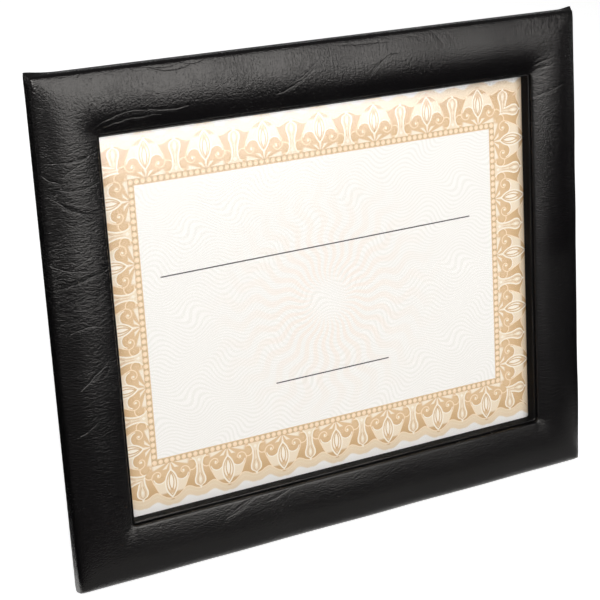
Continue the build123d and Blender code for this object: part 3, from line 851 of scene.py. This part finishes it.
def rail_section(rails, lip_rise):
    """A rail's closed section, as (depth behind the outer front edge, distance from the outer edge)."""
    rise = rails.edge - (COVER_BACK - COVER_FRONT)
    crown = RAIL_WIDTH / 2
    outer_run = crown - rails.taper - rails.outer_roll
    pad_edge = RAIL_WIDTH - 2 * rails.bead - rails.groove
    inner_run = pad_edge - crown - rails.lip_roll
    fall = -rise - lip_rise
    outer_radius = (outer_run**2 / (-rise - rails.outer_roll) + rails.outer_roll - rise) / 2
    inner_radius = (inner_run**2 / (fall - rails.lip_roll) + rails.lip_roll + fall) / 2
    outer_turn = math.asin(outer_run / (outer_radius - rails.outer_roll))
    inner_turn = math.asin(inner_run / (inner_radius - rails.lip_roll))
    right = math.pi / 2
    bead_middle = (-rails.bead_rise, RAIL_WIDTH - rails.bead)
    bead_side = RAIL_WIDTH - 2 * rails.bead
    groove_foot = rails.groove_depth - rails.bead_rise
    foot = (rails.edge, RAIL_WIDTH)
    board_back = rails.edge - rails.skin
    board_front = board_back - rails.board

    section = [(rails.edge, 0.0)]
    section += straight((rails.edge, 0.0), (0.0, rails.taper), WALL_STEPS)
    section += turned((0.0, rails.taper + rails.outer_roll), rails.outer_roll, right, outer_turn, ROLL_STEPS)
    section += turned((rise + outer_radius, crown), outer_radius, outer_turn, 0, CROWN_STEPS)
    section += turned((rise + inner_radius, crown), inner_radius, 0, -inner_turn, CROWN_STEPS)
    section += turned((-lip_rise, pad_edge - rails.lip_roll), rails.lip_roll, -inner_turn, -right, ROLL_STEPS)
    section += [(groove_foot, pad_edge), (groove_foot, bead_side), (bead_middle[0], bead_side)]
    section += turned(bead_middle, rails.bead, right, -right, BEAD_STEPS)
    section += straight((bead_middle[0], RAIL_WIDTH), foot, LIP_WALL_STEPS)
    section += straight(foot, (rails.edge, RAIL_WIDTH - rails.turn_in), TURN_STEPS)
    section += [
        (board_back, RAIL_WIDTH - rails.turn_in),
        (board_back, RAIL_WIDTH - rails.skin),
        (board_front, RAIL_WIDTH - rails.skin),
        (board_front, rails.skin),
        (board_back, rails.skin),
        (board_back, rails.turn_in),
        (rails.edge, rails.turn_in),
    ]
    section += straight((rails.edge, rails.turn_in), (rails.edge, 0.0), TURN_STEPS)[:-1]
    return np.array(section)


def ring_columns(rails):
    """The ring's columns: a centre inside the window's edge (x, z) and the way out from it, in radians."""
    half_x = WINDOW_WIDTH / 2 - rails.window_corner
    half_z = WINDOW_HEIGHT / 2 - rails.window_corner
    corners = [(-half_x, -half_z), (half_x, -half_z), (half_x, half_z), (-half_x, half_z)]
    fan = [math.atan(k / CORNER_STEPS) for k in range(1, CORNER_STEPS)]
    fan = fan + [math.pi / 4] + [math.pi / 2 - angle for angle in reversed(fan)]
    columns = []
    for side, start in enumerate(corners):
        end = corners[(side + 1) % len(corners)]
        out = (side - 1) * math.pi / 2
        steps = round(math.dist(start, end) / COLUMN_PITCH)
        for share_along in np.linspace(0, 1, steps + 1):
            place = [a + (b - a) * share_along for a, b in zip(start, end)]
            columns.append((*place, out))
        columns += [(*end, out + angle) for angle in fan]
    return np.array(columns)


def ring_grid(rails):
    """The ring's points in upright coordinates, by column and row."""
    columns = ring_columns(rails)
    cosine = np.cos(columns[:, 2])[:, None]
    sine = np.sin(columns[:, 2])[:, None]
    low = np.minimum(np.maximum(sine, 0) + abs(cosine) / 2, 1)
    depth, inset = np.moveaxis(rail_section(rails, rails.lip_rise), 1, 0)
    low_depth, low_inset = np.moveaxis(rail_section(rails, rails.low_lip), 1, 0)
    depth = depth + (low_depth - depth) * low
    inset = inset + (low_inset - inset) * low

    reach = RAIL_WIDTH - inset
    squareness = np.minimum(2 / np.maximum(1 - reach / RAIL_WIDTH, 1e-6), SQUARE_CORNER)
    stretch = (abs(cosine) ** squareness + abs(sine) ** squareness) ** (-1 / squareness)
    radius = (rails.window_corner + reach) * stretch
    x = columns[:, 0][:, None] + radius * cosine
    z = columns[:, 1][:, None] + radius * sine
    x = x + rails.lip_left * inset / RAIL_WIDTH * np.maximum(-cosine, 0)
    z = z - rails.lip_top * inset / RAIL_WIDTH * np.maximum(sine, 0)
    return np.stack([x, depth + COVER_BACK - rails.edge, z], axis=-1)


def ring_mesh(name, grid, mitres, folds, edge_rows):
    """A closed ring of quads through a grid, sharp at its folds and outer corners, with a map of its skin."""
    columns, rows = grid.shape[:2]
    index = np.arange(columns * rows).reshape(columns, rows)
    ahead = np.roll(index, -1, axis=0)
    quads = [index, ahead, np.roll(ahead, -1, axis=1), np.roll(index, -1, axis=1)]
    faces = np.stack(quads, axis=-1).reshape(-1, 4)
    mesh = bpy.data.meshes.new(name)
    mesh.from_pydata(grid.reshape(-1, 3).tolist(), [], faces.tolist())
    ends = np.zeros(len(mesh.edges) * 2, np.int32)
    mesh.edges.foreach_get("vertices", ends)
    edge_column, edge_row = np.divmod(ends.reshape(-1, 2), rows)
    folded = np.isin(edge_row, folds).all(axis=1) & (edge_row[:, 0] == edge_row[:, 1])
    mitred = np.isin(edge_column, mitres).all(axis=1) & (edge_row <= MITRE_ROW).all(axis=1)
    sharp = np.select([mitred, folded], [MITRE_SHARPNESS, FOLD_SHARPNESS], 0).astype(np.float32)
    mesh.attributes.new("crease_edge", "FLOAT", "EDGE").data.foreach_set("value", sharp)
    turned_edge = np.isin(index % rows, edge_rows).astype(np.float32)
    mesh.attributes.new("turned_edge", "FLOAT", "POINT").data.foreach_set("value", turned_edge.ravel())

    middle = grid[:, rows // 3]
    steps = np.linalg.norm(np.roll(middle, -1, axis=0) - middle, axis=1)
    along = np.concatenate([[0], np.cumsum(steps)]) / steps.sum()
    across = np.concatenate([[0], np.cumsum(np.linalg.norm(np.diff(grid[0], axis=0), axis=1)), [0]])
    corners = [(0, 0), (1, 0), (1, 1), (0, 1)]
    column, row = np.divmod(np.arange(columns * rows), rows)
    corner_maps = [np.stack([along[column + a], across[row + b]], axis=-1) for a, b in corners]
    skin = mesh.uv_layers.new(name="skin")
    skin.uv.foreach_set("vector", np.stack(corner_maps, axis=1).astype(np.float32).ravel())
    return mesh


def select_only(piece):
    """Makes a piece the one selected and active object."""
    bpy.ops.object.select_all(action="DESELECT")
    piece.select_set(True)
    bpy.context.view_layer.objects.active = piece


def new_piece(name, mesh):
    piece = bpy.data.objects.new(name, mesh)
    bpy.context.scene.collection.objects.link(piece)
    select_only(piece)
    return piece


def face_outwards(piece):
    """Turns a closed piece's faces outwards."""
    select_only(piece)
    bpy.ops.object.mode_set(mode="EDIT")
    bpy.ops.mesh.select_all(action="SELECT")
    bpy.ops.mesh.normals_make_consistent(inside=False)
    bpy.ops.object.mode_set(mode="OBJECT")


def apply_modifier(piece, kind, **settings):
    """Adds a modifier with its settings and applies it."""
    select_only(piece)
    bpy.ops.object.modifier_add(type=kind)
    modifier = piece.modifiers[-1]
    for name, setting in settings.items():
        setattr(modifier, name, setting)
    bpy.ops.object.modifier_apply(modifier=modifier.name)


def coordinates(piece, kind="co"):
    values = np.zeros(len(piece.data.vertices) * 3, np.float32)
    if kind == "co":
        piece.data.vertices.foreach_get("co", values)
    else:
        piece.data.vertex_normals.foreach_get("vector", values)
    return values.reshape(-1, 3).astype(float)


def move_points(piece, points):
    piece.data.vertices.foreach_set("co", points.astype(np.float32).ravel())
    piece.data.update()


def wandering(points, size, seed):
    """Smooth noise from -1 to 1 at points."""
    shift = Vector([step * seed for step in SEED_SHIFT])
    return np.array([noise.noise(Vector(point) / size + shift) for point in points])


def arc(start, pull, end, steps):
    """Points of a smooth curve between two points, drawn towards a third."""
    t = np.linspace(0, 1, steps + 1)[:, None]
    return (1 - t) ** 2 * start + 2 * t * (1 - t) * pull + t**2 * end


def curve_through(start, middle, end):
    """Points of a smooth curve through three points."""
    start, middle, end = (np.array(point, float) for point in (start, middle, end))
    return arc(start, 2 * middle - (start + end) / 2, end, CREASE_STEPS)


def crease_depth(flat, line, width):
    """How deep a crease along a line sinks flat points: a groove with soft shoulders and fading ends."""
    depth = np.zeros(len(flat))
    margin = CREASE_MARGIN * width
    close = np.all((flat > line.min(axis=0) - margin) & (flat < line.max(axis=0) + margin), axis=1)
    near = flat[close]
    if not len(near):
        return depth
    gap = np.full(len(near), np.inf)
    place = np.zeros(len(near))
    for step, (a, b) in enumerate(zip(line, line[1:])):
        run = b - a
        share_along = np.clip((near - a) @ run / (run @ run), 0, 1)
        distance = np.linalg.norm(near - a - share_along[:, None] * run, axis=1)
        closer = distance < gap
        gap[closer] = distance[closer]
        place[closer] = (step + share_along[closer]) / (len(line) - 1)
    shoulder = np.exp(-((gap / width - CREASE_SHOULDER_PLACE) ** 2))
    groove = np.exp(-((gap / width) ** 2)) - CREASE_SHOULDER * shoulder
    depth[close] = groove * np.sin(np.pi * np.clip(place, *CREASE_ENDS)) ** CREASE_FADE
    return depth


def small_creases():
    """Short creases that cross the rails, strewn over the skin."""
    draw = random.Random(CREASE_SEED)
    outer = np.array((OUTER_WIDTH, OUTER_HEIGHT)) / 2 / MM
    rail = RAIL_WIDTH / MM
    creases = []
    for _ in range(SMALL_CREASES):
        across = 0 if draw.random() < 0.5 else 1
        along = 1 - across
        inset = draw.uniform(*SMALL_CREASE_INSET) * rail
        middle = np.zeros(2)
        middle[across] = draw.choice((-1, 1)) * (outer[across] - inset)
        middle[along] = draw.uniform(-outer[along], outer[along])
        heading = across * math.pi / 2 + draw.uniform(-SMALL_CREASE_SLANT, SMALL_CREASE_SLANT)
        way = np.array((math.cos(heading), math.sin(heading)))
        bow = np.array((-way[1], way[0])) * draw.uniform(-SMALL_CREASE_BOW, SMALL_CREASE_BOW)
        half = draw.uniform(*SMALL_CREASE_LENGTH) / 2
        depth = draw.uniform(*SMALL_CREASE_SHARE) * min(max(wear(*middle), SMALL_CREASE_LEAST), 1)
        creases.append((depth, middle - way * half, middle + bow, middle + way * half))
    return creases


def sculpt_skin(cover, rails):
    """Works the creases, the uneven padding and the corner ears into the skin."""
    points = coordinates(cover)
    normals = coordinates(cover, "normal")
    flat = points[:, [0, 2]] / MM
    padded = np.clip(-normals[:, 1] * FRONT_GAIN, 0, 1) * (points[:, 1] < COVER_BACK - rails.edge)

    wander = [wandering(points / MM, CREASE_WANDER_SIZE, seed) for seed in CREASE_WANDER_SEEDS]
    warped = flat + CREASE_WANDER * np.stack(wander, axis=1)
    sink = np.zeros(len(points))
    for depth, *line in CREASES + small_creases():
        sink += depth * crease_depth(warped, curve_through(*line), CREASE_WIDTH)
    puff = PUFF * MM * wandering(points / MM, PUFF_SIZE, PUFF_SEED)
    points += normals * (padded * (puff - rails.crease * sink))[:, None]

    outer = np.array((OUTER_WIDTH / 2, OUTER_HEIGHT / 2)) / MM
    back_share = np.clip((points[:, 1] - COVER_BACK + rails.edge) / rails.edge, 0, 1)
    for (side, end), (out, up, spread) in EARS.items():
        gap = np.linalg.norm(flat - outer * (side, end), axis=1)
        lift = rails.ear * np.clip(1 - gap / spread, 0, 1) ** 2 * back_share
        points += lift[:, None] * np.array((out * side, 0, up * end))
    move_points(cover, points)


class CERTIFICATE_OT_padded_rails(Operator):
    """Make the padded leatherette rails"""

    bl_idname = "certificate.padded_rails"
    bl_label = "Padded rails"

    def execute(self, context):
        rails = context.scene.certificate_rails
        edge_rows = range(BEAD_ROW, LIP_FOOT_ROW + 1)
        slant = ring_columns(rails)[:, 2]
        mitres = np.flatnonzero(np.isclose(abs(np.cos(slant)), abs(np.sin(slant))))
        mesh = ring_mesh("padded_rails", ring_grid(rails), mitres, [0, LIP_FOOT_ROW], edge_rows)
        cover = new_piece("padded_rails", mesh)
        face_outwards(cover)
        apply_modifier(cover, "SUBSURF", levels=1, render_levels=1)
        sculpt_skin(cover, rails)
        bpy.ops.object.shade_smooth_by_angle(angle=RAIL_SMOOTH)
        cover.data.transform(STANDING)
        cover.data.materials.append(leatherette_finish(rails))
        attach(cover, "frame")
        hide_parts("leatherette_cover", "foam_pad")
        return {"FINISHED"}


class CERTIFICATE_OT_certificate(Operator):
    """Print the certificate and clear the sheet in front of it"""

    bl_idname = "certificate.certificate"
    bl_label = "Certificate and clear sheet"

    def execute(self, context):
        dress(["certificate"], certificate_finish(context.scene.certificate_print))
        dress(["clear_sheet"], clear_sheet_finish())
        return {"FINISHED"}


class CERTIFICATE_OT_back(Operator):
    """Finish the back, the pocket and the easel leg"""

    bl_idname = "certificate.back"
    bl_label = "Back and easel leg"

    def execute(self, context):
        back = context.scene.certificate_back
        dress(["back_lining", "leg_inner_facing", "leg_outer_facing"], lining_finish(back))
        board = board_finish("grey_board", back.board, fibre_size=1.6)
        dress(["window_board", "back_board", "leg_board"], board)
        dress(["spacer_left", "spacer_right", "spacer_bottom"], board)
        dress(["backing_card"], board_finish("ivory_card", back.card, fibre_size=2.4))
        return {"FINISHED"}


class CERTIFICATE_OT_metal(Operator):
    """Plate the hinge, the rivets and the wall hangers"""

    bl_idname = "certificate.metal"
    bl_label = "Hinge, rivets and hangers"

    def execute(self, context):
        steel = steel_finish(context.scene.certificate_metal)
        names = [name for name in NODES if name.startswith(("hinge", "hanger")) or name.endswith("rivet")]
        dress(names, steel)
        return {"FINISHED"}


# The ribbon's grid, bends and seat on the leg, and the angle up to which its shading is smooth
RIBBON_ACROSS = 8
RIBBON_PITCH = 1.0 * MM
RIBBON_BEND = 3.0 * MM
RIBBON_BEND_STEPS = 6
RIBBON_SEAT = 0.05 * MM
RIBBON_SMOOTH = math.radians(40)


def ribbon_path(ribbon):
    """The middle line of the ribbon's thickness, as upright (y, z) points: tab, span and tab.

    The second value is the gap that the folded leg leaves behind the lining.
    """
    swing = JOINTS["easel_swing"]
    hinge = UPRIGHT @ Vector(swing["pos_m"])
    opening = math.radians(-swing["range_deg"][0])
    facing = upright_points("leg_inner_facing") - np.array(hinge)
    inner = (facing[:, 1] * math.cos(opening) + facing[:, 2] * math.sin(opening)).min()
    gap = hinge.y + inner - LINING_BACK
    inner -= RIBBON_SEAT + ribbon.thickness / 2

    def on_leg(down):
        return np.array((
            hinge.y + inner * math.cos(opening) + down * math.sin(opening),
            hinge.z + inner * math.sin(opening) - down * math.cos(opening),
        ))

    board = LINING_BACK + ribbon.thickness / 2
    low = hinge.z - ribbon.reach
    path = [
        np.array((board, low + ribbon.tab)),
        np.array((board, low)),
        on_leg(ribbon.reach),
        on_leg(ribbon.reach + ribbon.tab),
    ]
    return path, float(gap)


def smooth_path(path, bend, pitch):
    """Even points along a path whose corners are eased over a short bend."""
    points = [path[0]]
    for before, corner, after in zip(path, path[1:], path[2:]):
        into = corner + (before - corner) * bend / np.linalg.norm(before - corner)
        out = corner + (after - corner) * bend / np.linalg.norm(after - corner)
        points += list(arc(into, corner, out, RIBBON_BEND_STEPS))
    points = np.array(points + [path[-1]])
    run = np.concatenate([[0], np.cumsum(np.linalg.norm(np.diff(points, axis=0), axis=1))])
    even = np.linspace(0, run[-1], round(run[-1] / pitch) + 1)
    line = np.stack([np.interp(even, run, points[:, axis]) for axis in (0, 1)], axis=1)
    return line, even


class CERTIFICATE_OT_ribbon(Operator):
    """Make the ribbon that stops the easel leg"""

    bl_idname = "certificate.ribbon"
    bl_label = "Ribbon stay"

    def execute(self, context):
        ribbon = context.scene.certificate_ribbon
        path, gap = ribbon_path(ribbon)
        line, even = smooth_path(path, RIBBON_BEND, RIBBON_PITCH)
        width = np.linspace(-ribbon.width / 2, ribbon.width / 2, RIBBON_ACROSS + 1)
        points = [(x, y, z) for y, z in line for x in width]
        wide = len(width)
        faces = [
            (row * wide + k, row * wide + k + 1, (row + 1) * wide + k + 1, (row + 1) * wide + k)
            for row in range(len(line) - 1)
            for k in range(wide - 1)
        ]
        mesh = bpy.data.meshes.new("ribbon")
        mesh.from_pydata(points, [], faces)
        weave = mesh.uv_layers.new(name="weave")
        for loop in mesh.loops:
            row, k = divmod(loop.vertex_index, wide)
            weave.uv[loop.index].vector = (even[row], width[k])
        piece = new_piece("ribbon", mesh)
        apply_modifier(piece, "SOLIDIFY", thickness=ribbon.thickness, offset=0)
        bpy.ops.object.shade_smooth_by_angle(angle=RIBBON_SMOOTH)
        mesh = piece.data
        mesh.transform(STANDING)
        mesh.materials.append(ribbon_finish(ribbon))
        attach(piece, "frame")
        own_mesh(piece)
        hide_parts("ribbon_stay")
        return {"FINISHED"}


FLOOR_SIZE = 40.0
FLOOR_DROP = 0.3 * MM
FLOOR_GLOW = 0.74

# Dark cards: middle and size in metres, grey, and turns in degrees
FLAGS = {
    "near_flag": ((0.05, -0.085, 0.0005), (0.44, 0.07), 0.42),
    "standing_flag": ((0.31, -0.25, 0.19), (0.32, 0.13), 0.01, (90, 0, 35)),
    "front_flag": ((0.3, -1.775, 0), (8.6, 3.45), 0.01),
    "left_flag": ((-1.2, 0.75, 0), (2.06, 1.6), 0.01),
    "right_flag": ((1.3, 0.5, 0), (2.2, 1.1), 0.01),
}

# Softboxes: turn to the right of the front and climb in degrees; distance, width and height in metres
SOFTBOXES = {
    "key": (19, 33, 1.0, 0.62, 1.0),
    "fill": (-31, 36, 1.6, 0.8, 0.6),
    "rear": (-150, 24, 1.8, 1.2, 0.8),
}
CAMERA_PLACE = (-0.41107, -0.69924, 0.51739)
CAMERA_TURN = (63.73, -2.446, -28.535)
CAMERA_LENS = 99.35
SENSOR = 36.0
ROOM_GREY = 0.10
WALL_HEIGHT = 0.01
WALL_FADE = 0.04
AIM = Vector((0, 0, 0.13))


def floor_finish(stage):
    """A pale floor that the camera sees as white, with the object's shadow on it."""
    finish = material("floor_paper")
    matt = finish.add("BsdfDiffuse", inputs={"Color": solid(stage.floor)})
    ray = finish.add("LightPath", output="Is Camera Ray")
    seen = ray.math("MAXIMUM", ray.beside("Is Glossy Ray"))
    seen = seen.math("MAXIMUM", ray.beside("Is Transmission Ray"))
    glow = finish.add("Emission", inputs={"Strength": seen * FLOOR_GLOW})
    return finish.show(finish.add("AddShader", inputs={0: matt, 1: glow}))


def studio_world():
    """A dim room whose white walls show along the horizon."""
    finish = Finish(bpy.data.worlds.new("studio"))
    _, _, height = finish.split(finish.add("TexCoord", output="Generated"))
    strength = height.below(WALL_HEIGHT, WALL_FADE) * (1 - ROOM_GREY) + ROOM_GREY
    return finish.show(finish.add("Background", inputs={"Strength": strength}))


def dark_flag(name, middle, size, grey, turns=(0, 0, 0)):
    """A dark card by the object, flat on the floor unless it is turned. Only reflections show it."""
    bpy.ops.object.select_all(action="DESELECT")
    turns = [math.radians(turn) for turn in turns]
    bpy.ops.mesh.primitive_plane_add(size=1, location=middle, rotation=turns)
    flag = bpy.context.active_object
    flag.name = name
    flag.data.transform(Matrix.Diagonal((*size, 1, 1)))
    finish = material(name)
    cloth = finish.add("BsdfDiffuse", inputs={"Color": (grey, grey, grey, 1)})
    flag.data.materials.append(finish.show(cloth))
    for rays in ("camera", "diffuse", "shadow", "transmission"):
        setattr(flag, f"visible_{rays}", False)


def softbox(name, turn, climb, distance, wide, high, watts):
    """An area lamp that looks at the middle of the object."""
    turn = math.radians(turn)
    climb = math.radians(climb)
    way = Vector((math.sin(turn) * math.cos(climb), -math.cos(turn) * math.cos(climb), math.sin(climb)))
    lamp = bpy.data.lights.new(name, "AREA")
    lamp.shape = "RECTANGLE"
    lamp.size = wide
    lamp.size_y = high
    lamp.energy = watts
    box = bpy.data.objects.new(name, lamp)
    bpy.context.scene.collection.objects.link(box)
    box.location = AIM + distance * way
    box.rotation_euler = (-way).to_track_quat("-Z", "Y").to_euler()
    box.visible_camera = False


class CERTIFICATE_OT_stage(Operator):
    """Set up the floor, the light and the camera"""

    bl_idname = "certificate.stage"
    bl_label = "Stage"

    def execute(self, context):
        stage = context.scene.certificate_stage
        bpy.ops.object.select_all(action="DESELECT")
        bpy.ops.mesh.primitive_plane_add(size=FLOOR_SIZE, location=(0, 0, -FLOOR_DROP))
        floor = context.active_object
        floor.name = "floor"
        floor.data.materials.append(floor_finish(stage))
        for name, flag in FLAGS.items():
            dark_flag(name, *flag)
        context.scene.world = studio_world()
        for name, place in SOFTBOXES.items():
            softbox(f"{name}_softbox", *place, getattr(stage, name))

        view = bpy.data.cameras.new("photo_view")
        view.lens = CAMERA_LENS
        view.sensor_width = SENSOR
        camera = bpy.data.objects.new("photo_view", view)
        context.scene.collection.objects.link(camera)
        camera.location = CAMERA_PLACE
        camera.rotation_euler = [math.radians(turn) for turn in CAMERA_TURN]
        context.scene.camera = camera
        context.scene.view_settings.view_transform = "Standard"
        return {"FINISHED"}


PIECES = (
    CERTIFICATE_OT_padded_rails,
    CERTIFICATE_OT_certificate,
    CERTIFICATE_OT_back,
    CERTIFICATE_OT_metal,
    CERTIFICATE_OT_ribbon,
    CERTIFICATE_OT_stage,
)


class CERTIFICATE_PT_frame(Panel):
    """Lists the frame's pieces and their settings"""

    bl_label = "Certificate frame"
    bl_idname = "CERTIFICATE_PT_frame"
    bl_space_type = "VIEW_3D"
    bl_region_type = "UI"
    bl_category = "Certificate Frame"

    def draw(self, context):
        for piece in PIECES:
            self.layout.operator(piece.bl_idname)
        for name, group in SETTINGS.items():
            box = self.layout.box()
            box.label(text=group.__doc__)
            for setting in group.__annotations__:
                box.prop(getattr(context.scene, name), setting)


def register():
    for group in SETTINGS.values():
        bpy.utils.register_class(group)
    for name, group in SETTINGS.items():
        setattr(bpy.types.Scene, name, PointerProperty(type=group))
    for cls in (*PIECES, CERTIFICATE_PT_frame):
        bpy.utils.register_class(cls)


def unregister():
    for cls in (CERTIFICATE_PT_frame, *reversed(PIECES)):
        bpy.utils.unregister_class(cls)
    for name, group in SETTINGS.items():
        delattr(bpy.types.Scene, name)
        bpy.utils.unregister_class(group)


def main():
    register()
    bpy.ops.certificate.padded_rails()
    bpy.ops.certificate.certificate()
    bpy.ops.certificate.back()
    bpy.ops.certificate.metal()
    bpy.ops.certificate.ribbon()
    bpy.ops.certificate.stage()


if __name__ == "__main__":
    main()
